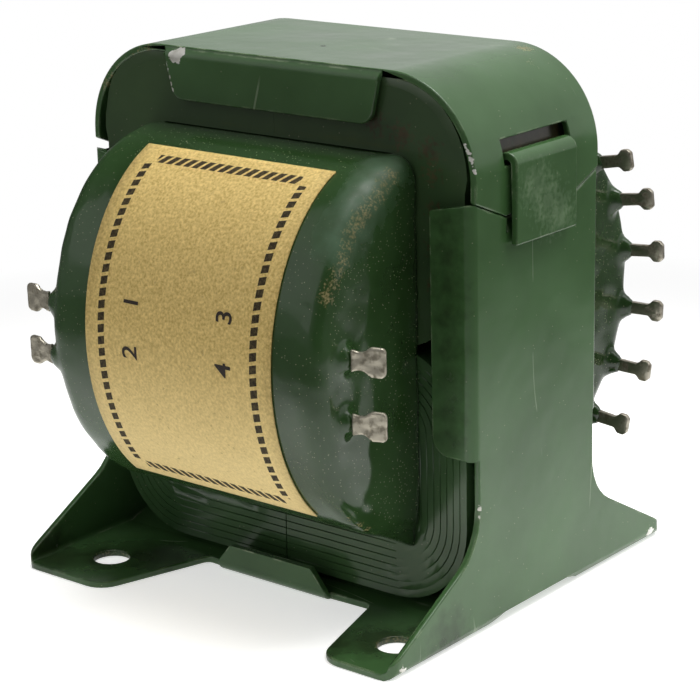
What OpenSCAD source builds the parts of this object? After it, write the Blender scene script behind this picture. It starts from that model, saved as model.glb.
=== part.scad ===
// Chassis power transformer: a strip-wound core with an enamelled coil, held between
// a folded steel mounting bracket and a folded steel top cap.
// Millimetres. +X runs along the front, +Y to the back, +Z up.
// The origin is on the floor, under the middle of the four foot holes.

/* [Core] */
// Width of the core from end to end
core_w = 58.4; // [52:0.2:66]
// Height of each of the two stacked loops
loop_h = 33; // [30:0.5:38]
// Width of the wound strip, which is the depth of the core
strip_w = 25; // [20:0.5:32]
// Thickness of the wound pile of strip
pile = 9; // [7:0.25:10]
// Inside bend radius of a loop
loop_in_r = 2; // [1:0.25:3]
// Gap between the cut faces of the two halves of a loop
cut_gap = 0.1; // [0.05:0.05:0.3]
// Number of bundles of turns that show on the edges of the lower loop
turn_count = 8; // [4:1:12]
// Width of the grooves between the bundles of turns
turn_gap = 0.3; // [0.1:0.05:0.5]
// Depth of the grooves between the bundles of turns
turn_depth = 0.2; // [0.1:0.05:0.5]

/* [Coil] */
// Bulge of the coil in front of the core
front_bulge = 19.5; // [16:0.1:24]
// Bulge of the coil behind the core
rear_bulge = 23; // [18:0.1:26]
// How far the bulges reach past the core window at each end
end_reach = 1.9; // [0.5:0.1:3]
// Rounding of the fold round the ends of the bulges
fold_r = 3.25; // [1:0.25:4]
// Clearance between the coil and the core
coil_gap = 0.3; // [0.1:0.05:0.4]

/* [Label] */
// Width of the paper label along the coil
label_w = 30.6; // [24:0.1:34]
// Shift of the label off the middle of the coil
label_shift = -0.2; // [-1:0.1:1]
// Height of the top edge of the label over the middle of the coil
label_up = 22.5; // [16:0.1:23]
// Drop of the bottom edge of the label under the middle of the coil
label_down = 19.6; // [16:0.1:23]
// Thickness of the label with its glue
label_t = 0.2; // [0.1:0.05:0.4]

/* [Solder lugs] */
// Thickness of the lug strip
lug_t = 0.5; // [0.3:0.1:0.8]
// Width of a front lug at its root
front_root_w = 2.7; // [2:0.1:3.2]
// Width of a front lug at its waist
front_waist_w = 2; // [1.4:0.1:2.4]
// Width of the head of a front lug
front_head_w = 3.6; // [3.2:0.1:5]
// Width of a rear lug at its root
rear_root_w = 1.8; // [1.4:0.1:2.2]
// Width of a rear lug at its waist
rear_waist_w = 1.4; // [1:0.1:1.6]
// Width of the head of a rear lug
rear_head_w = 2.7; // [2.4:0.1:4]
// Length of a lug from its root to its head
neck_l = 2.6; // [2:0.1:4]
// Length of the head of a lug
head_l = 1.7; // [1.5:0.1:3.5]
// Radius of the waist of a lug
waist_r = 1.5; // [0.5:0.1:2]
// Radius of the corners of the head of a lug
head_r = 0.6; // [0.2:0.05:0.7]
// Length of the enamel collar at the root of a front lug
front_collar_l = 1.2; // [0.8:0.1:2.5]
// Length of the enamel collar at the root of a rear lug
rear_collar_l = 1.7; // [0.8:0.1:2.5]
// Spread of the enamel collar at its foot
collar_flare = 0.5; // [0.2:0.1:1]
// Distance between the two lugs at the front right end
front_right_pitch = 7.8; // [6:0.1:10]
// Distance between the two lugs at the front left end
front_left_pitch = 7; // [6:0.1:10]
// Rise of the front right lugs over the middle of the coil
front_right_rise = -1.3; // [-4:0.1:4]
// Rise of the front left lugs over the middle of the coil
front_left_rise = -0.4; // [-4:0.1:4]
// Inset of the front right lugs from the crown of the bulge
front_right_inset = 5; // [2:0.1:9]
// Inset of the front left lugs from the crown of the bulge
front_left_inset = 1.8; // [1.6:0.1:9]
// Backward turn of the front right lugs
front_right_turn = 18; // [0:1:30]
// Backward turn of the front left lugs
front_left_turn = 5; // [0:1:30]
// Inset of the rear lugs from the surface of the bulge
rear_inset = 1.6; // [1:0.1:4]
// Angle between neighbouring rear lugs round the bulge
rear_lug_step = 21; // [14:0.5:22]
// Rise of the rear lugs over the middle of the coil
rear_lug_rise = -0.8; // [-2:0.1:2]
// Outward lean of the rear lugs
rear_lug_lean = 12; // [0:1:20]

/* [Sheet metal] */
// Thickness of the steel sheet
sheet = 0.9; // [0.6:0.1:1.2]
// Inside radius of the folds
bend_in_r = 0.6; // [0.3:0.1:1.2]
// Clearance between seated pieces
fit = 0.1; // [0.05:0.05:0.2]

/* [Mounting bracket] */
// Diameter of the holes in the feet
hole_d = 4.8; // [3.5:0.1:6]
// Distance of a hole from the outside of the side wall
hole_in = 7; // [5.5:0.1:9]
// Distance of a hole in front of or behind the core
hole_out = 10; // [7:0.5:14]
// Length of a foot beyond its hole
foot_margin = 7.9; // [5:0.1:10]
// Width of a foot at its tip
foot_tip_w = 12.6; // [11:0.1:16]
// Width of a foot at its root
foot_root_w = 17.3; // [16.5:0.1:21]
// Radius of the inner corner of the tip of a foot
foot_in_r = 3.5; // [1:0.1:4]
// Radius of the outer corner of the tip of a foot
foot_out_r = 2.2; // [0.5:0.1:3]
// Radius of the inner corner at the root of a foot
foot_root_r = 1; // [0.5:0.1:2]
// Shift of the holes and of the cut-outs between the feet off the middle of the bracket
foot_shift = 1.7; // [0:0.1:2]
// Height of the upright edge at the tip of a foot
foot_tip_h = 1.6; // [1.2:0.1:4]
// Height at which the side wall starts to flare
flare_h = 11.5; // [8:0.5:14]
// Radius of the curve where the side wall flares
flare_r = 8; // [2:0.5:10]
// Rise of the raised band under the core
band_rise = 1.1; // [0.6:0.1:2]
// Half width of the flat top of the raised band
band_half = 7; // [4:0.5:8]
// Length of the slope at the edge of the raised band
band_slope = 4; // [2:0.5:4]
// Width of the flanges along the front and rear of the side walls
flange_w = 6.4; // [4:0.1:8]
// Height of the lower end of the flanges
flange_low = 22.6; // [20:0.2:30]
// Radius of the lower corner of the flanges
flange_r = 2.5; // [0.5:0.1:3]
// Height of the small upturned lips at the front and rear
lip_h = 4.1; // [3:0.1:6]
// Width of a lip at its foot
lip_w = 18.4; // [14:0.2:22]
// Width of a lip at its top
lip_top_w = 13.8; // [10:0.2:14]
// Distance of the outside of a lip from the core
lip_reach = 3.6; // [3:0.1:5]

/* [Top cap] */
// Outside radius of the rounded corners of the cap
cap_r = 12.5; // [10:0.25:14]
// Height of the sides of the cap
cap_side_h = 17.2; // [15:0.1:20]
// Reach of the cap past the core at the front and rear
cap_over = 0.5; // [0.2:0.1:1]
// Rise of the slanted lower corners of the cap
cap_corner_h = 2.5; // [1:0.1:4]
// Width of the flat middle of the lower edge of the cap sides
cap_flat_w = 14; // [13.5:0.1:18]
// Tilt of the lower edges of the cap, which opens the gap over the left wall
cap_tilt = 1.1; // [0:0.1:1.5]
// Width of the front and rear flanges of the cap
cap_flange_w = 34.8; // [26:0.2:36]
// Height of the front and rear flanges of the cap
cap_flange_h = 6.8; // [5:0.1:8]
// Slant of the ends of the flanges of the cap
cap_flange_slant = 1.4; // [0:0.1:3]
// Radius of the lower corners of the flanges of the cap
cap_flange_r = 2; // [0.5:0.1:3]
// Drop of the top edge of the side slots from the top
slot_drop = 8.1; // [6:0.1:9]
// Height of the side slots
slot_h = 3.1; // [2.2:0.1:4]
// Clearance at each end of a slot
slot_side = 0.6; // [0.2:0.1:1]

/* [Tongues] */
// Width of the bracket tongues that hold the cap
tongue_w = 12.8; // [9:0.1:13]
// Gap between the folded end of a tongue and the cap
tongue_gap = 0.35; // [0.2:0.05:0.8]
// Length of the end of a tongue that hangs outside
tongue_hang = 9.6; // [5:0.1:12]
// Height of the step that takes a tongue inside the cap
tongue_step_h = 1.8; // [1:0.1:3]

/* [Hidden] */
$fn = 64;
// Points on each rounded corner of an outline
corner_steps = 6;

// Heights, from the floor up
core_z = band_rise + sheet;
mid_z = core_z + loop_h + fit / 2;
core_top = core_z + 2 * loop_h + fit;
cap_in_z = core_top + fit;
cap_top = cap_in_z + sheet;
cap_low = cap_top - cap_side_h;
slot_top = cap_top - slot_drop;
slot_low = slot_top - slot_h;
throat_z = cap_low - fit;

// Distances across, from the middle
core_y = strip_w / 2;
window_x = core_w / 2 - pile;
tongue_x = core_w / 2 + fit;
wall_in = tongue_x + sheet + fit;
wall_out = wall_in + sheet;
leaf_x = wall_out + tongue_gap;
flange_in = core_y + 2 * fit;
flange_out = flange_in + sheet;
bend_out_r = bend_in_r + sheet;
cap_y = core_y + cap_over;
cap_corner_slope = cap_corner_h / (cap_y - cap_flat_w / 2);
hole_x = wall_out - hole_in;
hole_y = core_y + hole_out;
foot_y = hole_y + foot_margin;
root_y = core_y + lip_reach - bend_out_r;
lip_y = core_y + lip_reach;

// Coil outline
coil_y = core_y + coil_gap;
coil_half_h = loop_h - pile - coil_gap + fit / 2;
coil_in_x = window_x - coil_gap;
coil_end_x = window_x + end_reach;
front_depth = front_bulge - coil_gap;
rear_depth = rear_bulge - coil_gap;

// Colours
enamel = [0.17, 0.27, 0.15];
dark_enamel = [0.12, 0.20, 0.11];
kraft = [0.79, 0.66, 0.42];
tin = [0.66, 0.65, 0.63];

// Each lug has a name, the side of its end and its place in the row, counted from the top
front_names = ["upper", "lower"];
rear_count = 6;
ends = [["right", 1], ["left", -1]];
front_lugs = [
    for (e = ends, k = [0, 1])
        [str("front_", e[0], "_lug_", front_names[k]), e[1], k]
];
rear_lugs = [
    for (e = ends, k = [0:rear_count - 1])
        [str("rear_", e[0], "_lug_", k + 1), e[1], k]
];

core_names = ["core_lower_left", "core_lower_right", "core_upper_left", "core_upper_right"];

// Outline tools

function unit(v) = v / norm(v);
function flat(p) = [p[0], p[1]];

// Points of the arc that rounds corner b between its neighbours a and c
function corner(a, b, c) =
    let (
        u = unit(flat(a) - flat(b)),
        v = unit(flat(c) - flat(b)),
        half = acos(u * v) / 2,
        centre = flat(b) + unit(u + v) * b[2] / sin(half),
        start = flat(b) + u * b[2] / tan(half) - centre,
        stop = flat(b) + v * b[2] / tan(half) - centre,
        from = atan2(start[1], start[0]),
        turn = atan2(start[0] * stop[1] - start[1] * stop[0], start * stop)
    )
    [
        for (i = [0:corner_steps])
            let (t = from + turn * i / corner_steps) centre + b[2] * [cos(t), sin(t)]
    ];

// Outline through points [x, y, radius], with each corner rounded by its radius
function rounded(points) =
    let (n = len(points))
    [
        for (i = [0:n - 1])
            each points[i][2] == 0
                ? [flat(points[i])]
                : corner(points[(i + n - 1) % n], points[i], points[(i + 1) % n])
    ];

// A list of points of the right side, with their mirror images on the left
function both_sides(points) =
    let (n = len(points))
    concat(points, [for (i = [n - 1:-1:0]) [-points[i][0], points[i][1], points[i][2]]]);

// Elliptic drum along X, longer than the coil
module drum(depth, half) {
    scale([1, depth / half, 1])
        rotate([0, 90, 0])
            cylinder(h = core_w, r = half, center = true);
}

module along_x(length) {
    rotate([90, 0, 90])
        linear_extrude(length, center = true)
            children();
}

module along_y(length) {
    rotate([90, 0, 0])
        linear_extrude(length, center = true)
            children();
}

module rounded_rect(w, h, r) {
    square([w - 2 * r, h], center = true);
    square([w, h - 2 * r], center = true);
    for (x = [-1, 1], y = [-1, 1])
        translate([x * (w / 2 - r), y * (h / 2 - r)])
            circle(r);
}

// Channel section that stands open side up on z = 0
module channel(half, height, in_r) {
    difference() {
        translate([0, height / 2])
            rounded_rect(2 * half, height, in_r + sheet);
        translate([0, height / 2 + sheet])
            rounded_rect(2 * (half - sheet), height, in_r);
    }
}

module on_end(end) {
    if (end > 0)
        children();
    else
        mirror([1, 0, 0])
            children();
}

module front_and_rear() {
    children();
    mirror([0, 1, 0])
        children();
}

// Core

// Outline of a loop of the core, taken in by the given distance
module loop_outline(inset) {
    rounded_rect(core_w - 2 * inset, loop_h - 2 * inset, loop_in_r + pile - inset);
}

// Grooves between the bundles of turns, as seen on the edges of the strip
module turn_lines() {
    for (k = [1:turn_count - 1]) {
        inset = k * pile / turn_count;
        difference() {
            loop_outline(inset - turn_gap / 2);
            loop_outline(inset + turn_gap / 2);
        }
    }
}

module core_half(end, level) {
    z = core_z + level * (loop_h + fit) + loop_h / 2;
    color(dark_enamel)
        intersection() {
            translate([0, 0, z])
                difference() {
                    along_y(strip_w)
                        difference() {
                            loop_outline(0);
                            loop_outline(pile);
                        }
                    // The enamel fills these grooves on the upper loop
                    if (level == 0)
                        front_and_rear()
                            translate([0, core_y, 0])
                                along_y(2 * turn_depth)
                                    turn_lines();
                }
            on_end(end)
                translate([cut_gap / 2, -core_y, core_z])
                    cube([core_w, strip_w, core_top - core_z]);
        }
}

// Coil

// Half drum along X that stands on the core, with its rims rounded by the radius of the fold
module bulge(depth) {
    translate([0, coil_y, mid_z])
        intersection() {
            scale([1, depth / coil_half_h, 1])
                rotate([0, 90, 0])
                    rotate_extrude()
                        intersection() {
                            rounded_rect(2 * coil_half_h, 2 * coil_end_x, fold_r);
                            translate([0, -coil_end_x])
                                square([coil_half_h, 2 * coil_end_x]);
                        }
            translate([-coil_end_x, 0, -coil_half_h])
                cube([2 * coil_end_x, 2 * depth, 2 * coil_half_h]);
        }
}

module coil() {
    color(enamel) {
        difference() {
            union() {
                translate([0, 0, mid_z])
                    cube([2 * coil_in_x, 2 * coil_y, 2 * coil_half_h], center = true);
                mirror([0, 1, 0])
                    bulge(front_depth);
                bulge(rear_depth);
            }
            translate([0, 0, mid_z])
                cube([core_w, 2 * coil_y, 2 * (pile + coil_gap) + fit], center = true);
        }
        for (l = front_lugs)
            at_front_lug(l)
                collar(front_root_w, front_collar_l, fold_r / 2);
        for (l = rear_lugs)
            at_rear_lug(l)
                collar(rear_root_w, rear_collar_l, fold_r);
    }
}

module paper_label() {
    color(kraft)
        intersection() {
            translate([0, -coil_y, mid_z])
                difference() {
                    drum(front_depth + label_t, coil_half_h + label_t);
                    drum(front_depth, coil_half_h);
                }
            translate([label_shift - label_w / 2, -coil_y - 2 * front_depth, mid_z - label_down])
                cube([label_w, 2 * front_depth, label_up + label_down]);
        }
}

// Solder lugs

// Places its children at the tip of the collar of a front lug
module at_front_lug(l) {
    pitch = l[1] > 0 ? front_right_pitch : front_left_pitch;
    inset = l[1] > 0 ? front_right_inset : front_left_inset;
    rise = l[1] > 0 ? front_right_rise : front_left_rise;
    z = mid_z + rise + (0.5 - l[2]) * pitch;
    on_end(l[1])
        translate([coil_end_x + front_collar_l, inset - coil_y - front_depth, z])
            children();
}

// Places its children at the tip of the collar of a rear lug, with +X along the lug
module at_rear_lug(l) {
    t = 90 + (l[2] - (rear_count - 1) / 2) * rear_lug_step;
    y = coil_y + (rear_depth - rear_inset) * sin(t);
    z = mid_z + rear_lug_rise + (coil_half_h - rear_inset) * cos(t);
    on_end(l[1])
        translate([coil_end_x + rear_collar_l, y, z])
            rotate([0, -rear_lug_lean * cos(t), rear_lug_lean * sin(t)])
                children();
}

// Enamel that has run up the root of a lug, ending at x = 0 and sunk into the coil
module collar(root_w, collar_l, sunk) {
    length = collar_l + sunk;
    translate([-length, 0, 0])
        rotate([0, 90, 0])
            cylinder(h = length, r1 = root_w / 2 + collar_flare, r2 = root_w / 2);
}

// Flat tinned lug that starts at x = 0, with a waist and a wider head
module lug(root_w, waist_w, head_w) {
    upper = [
        [neck_l + head_l, head_w / 2, head_r],
        [neck_l, head_w / 2, head_r],
        [neck_l / 2, waist_w / 2, waist_r],
        [0, root_w / 2, 0]
    ];
    lower = [for (i = [3:-1:0]) [upper[i][0], -upper[i][1], upper[i][2]]];
    color(tin)
        along_y(lug_t)
            polygon(rounded(concat(upper, lower)));
}

// Front lugs are turned back at the collar, with the corner of the root against it
module front_lug(l) {
    turn = l[1] > 0 ? front_right_turn : front_left_turn;
    at_front_lug(l)
        translate([lug_t / 2 * sin(turn), 0, 0])
            rotate([0, 0, turn])
                lug(front_root_w, front_waist_w, front_head_w);
}

module rear_lug(l) {
    at_rear_lug(l)
        lug(rear_root_w, rear_waist_w, rear_head_w);
}

// Mounting bracket

// Side view of the bracket: feet, flared walls and the notch for the cap
module wall_outline() {
    polygon(rounded(both_sides([
        [foot_y, 0, 0],
        [foot_y, foot_tip_h, foot_tip_h / 2],
        [core_y, flare_h, flare_r],
        [core_y, throat_z + (core_y - cap_flat_w / 2) * cap_corner_slope, 0],
        [cap_flat_w / 2, throat_z, 0]
    ])));
}

// Plan of the bracket: four feet with a cut-out between them at the front and rear
module foot_plan() {
    front = [
        for (end = [-1, 1])
            let (
                tip = end * (wall_out - foot_tip_w) + foot_shift,
                root = end * (wall_out - foot_root_w) + foot_shift,
                foot = [
                    [end * wall_out, -foot_y, foot_out_r],
                    [tip, -foot_y, foot_in_r],
                    [root, -root_y, foot_root_r]
                ]
            )
            each end < 0 ? foot : [foot[2], foot[1], foot[0]]
    ];
    rear = [for (i = [5:-1:0]) [front[i][0], -front[i][1], front[i][2]]];
    polygon(rounded(concat(front, rear)));
}

// Flanges folded in along the front and rear edges of both walls
module wall_flanges() {
    reach = flange_out + fit;
    intersection() {
        linear_extrude(cap_top)
            difference() {
                rounded_rect(2 * wall_out, 2 * flange_out, bend_out_r);
                rounded_rect(2 * wall_in, 2 * flange_in, bend_in_r);
            }
        along_x(3 * wall_out)
            polygon([
                for (p = both_sides([
                    [reach, flange_low, 0],
                    [reach, throat_z + (reach - cap_flat_w / 2) * cap_corner_slope, 0],
                    [cap_flat_w / 2, throat_z, 0]
                ])) flat(p)
            ]);
        along_y(3 * flange_out)
            for (end = [1, -1])
                on_end(end)
                    polygon(rounded([
                        [wall_out + sheet, flange_low, 0],
                        [wall_out + sheet, throat_z + cap_corner_h, 0],
                        [wall_out - sheet, throat_z + cap_corner_h, 0],
                        [wall_out - flange_w, throat_z + cap_corner_h / 2, sheet / 2],
                        [wall_out - flange_w, flange_low, flange_r]
                    ]));
    }
}

// Tongue that steps inside the cap, comes out of its slot and is folded down outside
module tongue() {
    fold_in_r = (leaf_x - tongue_x - sheet) / 2;
    fold_x = tongue_x + sheet + fold_in_r;
    step_top = throat_z - fit;
    step_low = step_top - tongue_step_h;
    along_y(tongue_w) {
        polygon([
            [wall_in, step_low - sheet],
            [wall_out, step_low - sheet],
            [wall_out, step_low],
            [tongue_x + sheet, step_top],
            [tongue_x + sheet, slot_low],
            [tongue_x, slot_low],
            [tongue_x, step_top],
            [wall_in, step_low]
        ]);
        translate([fold_x, slot_low])
            intersection() {
                difference() {
                    circle(fold_in_r + sheet);
                    circle(fold_in_r);
                }
                translate([-leaf_x, 0])
                    square(2 * leaf_x);
            }
        translate([leaf_x, slot_low - tongue_hang])
            square([sheet, tongue_hang]);
    }
}

// Upturned lip in the middle of the front edge of the bracket floor
module lip() {
    intersection() {
        along_x(lip_w)
            polygon(rounded([
                [-root_y + sheet, 0, 0],
                [-root_y + sheet, sheet, 0],
                [-lip_y + sheet, sheet, bend_in_r],
                [-lip_y + sheet, lip_h, 0],
                [-lip_y, lip_h, 0],
                [-lip_y, 0, bend_out_r]
            ]));
        along_y(3 * lip_y)
            polygon(rounded(both_sides([
                [lip_w / 2, 0, 0],
                [lip_w / 2, bend_out_r, 0],
                [lip_top_w / 2, lip_h, sheet / 2]
            ])));
    }
}

// Side view of the step under the raised band, from the given height
module band_outline(z) {
    polygon([
        for (p = both_sides([
            [band_half + band_slope, z, 0],
            [band_half, z + band_rise, 0]
        ])) flat(p)
    ]);
}

module mounting_bracket() {
    step_cut = throat_z - fit - tongue_step_h;
    color(enamel) {
        difference() {
            union() {
                intersection() {
                    along_y(3 * foot_y)
                        channel(wall_out, 2 * cap_top, bend_in_r);
                    along_x(3 * wall_out)
                        wall_outline();
                    linear_extrude(cap_top)
                        foot_plan();
                }
                wall_flanges();
                along_x(2 * wall_in)
                    band_outline(sheet);
            }
            along_x(3 * wall_out)
                band_outline(0);
            for (x = [-hole_x, hole_x], y = [-hole_y, hole_y])
                translate([foot_shift + x, y, -sheet])
                    cylinder(h = 3 * sheet, d = hole_d);
            translate([-2 * wall_out, -tongue_w / 2 - slot_side / 2, step_cut])
                cube([4 * wall_out, tongue_w + slot_side, cap_top]);
        }
        for (end = [1, -1])
            on_end(end)
                tongue();
        front_and_rear()
            lip();
    }
}

// Top cap

// Flange bent down over the front of the upper core limb
module cap_flange() {
    low = cap_top - cap_flange_h;
    intersection() {
        along_x(cap_flange_w)
            polygon(rounded([
                [-core_y + sheet, cap_top, 0],
                [-flange_out, cap_top, bend_out_r],
                [-flange_out, low, 0],
                [-flange_in, low, 0],
                [-flange_in, cap_in_z, bend_in_r],
                [-core_y + sheet, cap_in_z, 0]
            ]));
        along_y(3 * flange_out)
            polygon(rounded(both_sides([
                [cap_flange_w / 2, cap_top + sheet, 0],
                [cap_flange_w / 2, cap_top - sheet, 0],
                [cap_flange_w / 2 - cap_flange_slant, low, cap_flange_r]
            ])));
    }
}

module top_cap() {
    color(enamel)
        difference() {
            union() {
                intersection() {
                    translate([0, 0, cap_top])
                        mirror([0, 0, 1])
                            along_y(2 * cap_y)
                                channel(wall_out, 2 * cap_side_h, cap_r - sheet);
                    translate([wall_out, 0, cap_low])
                        rotate([0, cap_tilt, 0])
                            translate([-wall_out, 0, 0])
                                along_x(3 * wall_out)
                                    polygon([
                                        for (p = both_sides([
                                            [cap_y, cap_side_h + sheet, 0],
                                            [cap_y, cap_corner_h, 0],
                                            [cap_flat_w / 2, 0, 0]
                                        ])) flat(p)
                                    ]);
                }
                front_and_rear()
                    cap_flange();
            }
            translate([-2 * wall_out, -tongue_w / 2 - slot_side, slot_low])
                cube([4 * wall_out, tongue_w + 2 * slot_side, slot_h]);
        }
}

// Puts the origin under the middle of the foot holes
module placed() {
    translate([-foot_shift, 0, 0])
        children();
}

placed() mounting_bracket();
placed() top_cap();
placed() coil();
placed() paper_label();
for (i = [0:3])
    placed() core_half(2 * (i % 2) - 1, floor(i / 2));
for (l = front_lugs)
    placed() front_lug(l);
for (l = rear_lugs)
    placed() rear_lug(l);
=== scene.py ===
# %% [markdown]
# # A chassis power transformer
# A small transformer for the inside of a radio or a measuring set: a coil on a core of wound steel strip,
# held between a folded bracket and a cap, and dipped in dark green enamel. The construction model already
# gives the right sizes, so this lesson adds what the eye looks for: rounded painted edges, a soft coil, a
# printed paper label and wear.

# %% Load the construction model
import math

import bmesh
import bpy
from mathutils import Matrix, Vector, noise
from mathutils.bvhtree import BVHTree


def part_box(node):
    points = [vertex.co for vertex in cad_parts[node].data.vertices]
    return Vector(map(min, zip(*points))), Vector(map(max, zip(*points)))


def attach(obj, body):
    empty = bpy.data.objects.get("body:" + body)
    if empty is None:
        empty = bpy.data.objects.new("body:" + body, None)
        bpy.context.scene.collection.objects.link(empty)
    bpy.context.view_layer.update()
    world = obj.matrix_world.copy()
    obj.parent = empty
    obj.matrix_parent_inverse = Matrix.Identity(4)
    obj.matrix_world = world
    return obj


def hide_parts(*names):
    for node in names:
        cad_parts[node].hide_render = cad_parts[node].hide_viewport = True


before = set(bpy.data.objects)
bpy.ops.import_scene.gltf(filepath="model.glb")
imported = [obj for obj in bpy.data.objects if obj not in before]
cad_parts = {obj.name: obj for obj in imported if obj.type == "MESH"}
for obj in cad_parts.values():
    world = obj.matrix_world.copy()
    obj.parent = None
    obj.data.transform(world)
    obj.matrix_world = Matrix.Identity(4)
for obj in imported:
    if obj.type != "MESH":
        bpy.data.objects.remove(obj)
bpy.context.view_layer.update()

MM = 0.001
bracket_low, bracket_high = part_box("mounting_bracket")
BODY_X = (bracket_low[0] + bracket_high[0]) / 2
TO_FRAME = Matrix.Translation((BODY_X, 0, 0)) @ Matrix.Scale(MM, 4)
print("pieces in the construction model:", len(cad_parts))
print("the body stands", round(BODY_X / MM, 2), "mm from the middle of the foot holes")

# %% [markdown]
# ## Camera, table and light
# The object stands on a white light table with a bright wall behind it and a dim room in front. That is why
# its top and its lower right side shine while its front stays deep green. The lens is long and the camera
# close to the level of the object, so the upright edges hardly converge.

# %% Camera
VIEW_TURN = math.radians(39.275)
VIEW_RISE = math.radians(16.656)
VIEW_ROLL = math.radians(-1.2205)
VIEW_FROM = Vector((180.70, -221.62, 114.11)) * MM

lens = bpy.data.cameras.new("photo_lens")
lens.sensor_width = 36
lens.lens = 116.5
lens.clip_start = 0.02
camera = bpy.data.objects.new("photo_camera", lens)
camera.matrix_world = (
    Matrix.Translation(VIEW_FROM)
    @ Matrix.Rotation(VIEW_TURN, 4, "Z")
    @ Matrix.Rotation(math.pi / 2 - VIEW_RISE, 4, "X")
    @ Matrix.Rotation(VIEW_ROLL, 4, "Z")
)
bpy.context.collection.objects.link(camera)
bpy.context.scene.camera = camera
bpy.context.scene.view_settings.view_transform = "Standard"
print("camera", round(VIEW_FROM.length, 3), "m from the origin")


# %% Helpers for finishes
def tint(code):
    """A colour written as a web code, as the linear values that the shaders work with."""
    parts = [int(code[i:i + 2], 16) / 255 for i in (1, 3, 5)]
    return [c / 12.92 if c <= 0.04045 else ((c + 0.055) / 1.055) ** 2.4 for c in parts] + [1.0]


def add(tree, kind, inputs=None, **settings):
    """Adds a node, sets its options, and fills its sockets with numbers or links."""
    node = tree.nodes.new(kind)
    for name, value in settings.items():
        setattr(node, name, value)
    for key, value in (inputs or {}).items():
        if isinstance(value, bpy.types.NodeSocket):
            tree.links.new(value, node.inputs[key])
        else:
            node.inputs[key].default_value = value
    return node


def to_shader(tree, sockets):
    """Links values to the sockets of a material's own shader."""
    shader = tree.nodes["Principled BSDF"]
    for socket, value in sockets.items():
        tree.links.new(value, shader.inputs[socket])


# %% Light table
TABLE_NEAR = 0.06
TABLE_FAR = 0.17
NEAR_SHINE = 0.36
FAR_SHINE = 0.10
SEEN_SHINE = 0.55
FLOOR_SIZE = 4.0

# Opal sheet lit from below: it shines softly on the object, keeps its shadow, and looks white to the camera
table = bpy.data.materials.new("white_light_table")
table.use_nodes = True
tree = table.node_tree
tree.nodes.clear()
place_on_floor = add(tree, "ShaderNodeTexCoord").outputs["Object"]
reach = add(tree, "ShaderNodeVectorMath", {0: place_on_floor}, operation="LENGTH").outputs["Value"]
distances = {"Value": reach, "From Min": TABLE_NEAR, "From Max": TABLE_FAR}
far = add(tree, "ShaderNodeMapRange", distances).outputs[0]
top_colour = add(tree, "ShaderNodeMix", {0: far, 6: tint("#f4f4f2"), 7: tint("#464644")}, data_type="RGBA")
matt = add(tree, "ShaderNodeBsdfDiffuse", {"Color": top_colour.outputs[2]}).outputs[0]
fade = add(tree, "ShaderNodeMapRange", {"Value": far, "To Min": NEAR_SHINE, "To Max": FAR_SHINE}).outputs[0]
shine = add(tree, "ShaderNodeEmission", {"Strength": fade}).outputs[0]
lamp_side = add(tree, "ShaderNodeAddShader", {0: matt, 1: shine}).outputs[0]
glow = add(tree, "ShaderNodeEmission", {"Strength": SEEN_SHINE}).outputs[0]
white = add(tree, "ShaderNodeEmission", {"Strength": 1.0}).outputs[0]
lifted = add(tree, "ShaderNodeAddShader", {0: matt, 1: glow}).outputs[0]
seen = add(tree, "ShaderNodeMixShader", {0: far, 1: lifted, 2: white}).outputs[0]
ray = add(tree, "ShaderNodeLightPath").outputs["Is Camera Ray"]
either = add(tree, "ShaderNodeMixShader", {0: ray, 1: lamp_side, 2: seen}).outputs[0]
add(tree, "ShaderNodeOutputMaterial", {"Surface": either})

sheet = bmesh.new()
bmesh.ops.create_grid(sheet, x_segments=1, y_segments=1, size=FLOOR_SIZE)
floor_mesh = bpy.data.meshes.new("light_table")
sheet.to_mesh(floor_mesh)
sheet.free()
floor_mesh.materials.append(table)
light_table = bpy.data.objects.new("light_table", floor_mesh)
bpy.context.collection.objects.link(light_table)
print("light table", 2 * FLOOR_SIZE, "m wide")

# %% Room and lamps
LAMP_AIM = Vector((0, 0, 0.035))

room = bpy.data.worlds.new("studio_room")
bpy.context.scene.world = room
room.use_nodes = True
tree = room.node_tree
tree.nodes.clear()
gaze = add(tree, "ShaderNodeTexCoord").outputs["Generated"]


def glow_towards(aim, start, full, dark, bright):
    """A smooth patch of light in the room round a level direction."""
    toward = add(tree, "ShaderNodeVectorMath", {0: gaze, 1: aim}, operation="DOT_PRODUCT").outputs["Value"]
    limits = {"Value": toward, "From Min": start, "From Max": full, "To Min": dark, "To Max": bright}
    return add(tree, "ShaderNodeMapRange", limits, interpolation_type="SMOOTHSTEP").outputs[0]


wall_glow = glow_towards(aim=(0.35, 0.94, 0), start=0.05, full=0.65, dark=0.05, bright=0.98)
window_glow = glow_towards(aim=(-0.5, -0.87, 0), start=0.4, full=0.95, dark=0.0, bright=0.34)
both = add(tree, "ShaderNodeMath", {0: wall_glow, 1: window_glow}, operation="ADD").outputs[0]
wall = add(tree, "ShaderNodeBackground", {"Strength": both}).outputs[0]
blank = add(tree, "ShaderNodeBackground", {"Strength": 1.0}).outputs[0]
ray = add(tree, "ShaderNodeLightPath").outputs["Is Camera Ray"]
sight = add(tree, "ShaderNodeMixShader", {0: ray, 1: wall, 2: blank}).outputs[0]
add(tree, "ShaderNodeOutputWorld", {"Surface": sight})


def softbox(name, place, size, power):
    """A square lamp that points at the middle of the transformer."""
    light = bpy.data.lights.new(name, "AREA")
    light.size = size
    light.energy = power
    lamp = bpy.data.objects.new(name, light)
    lamp.location = place
    lamp.rotation_euler = (LAMP_AIM - lamp.location).to_track_quat("-Z", "Y").to_euler()
    bpy.context.collection.objects.link(lamp)


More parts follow.
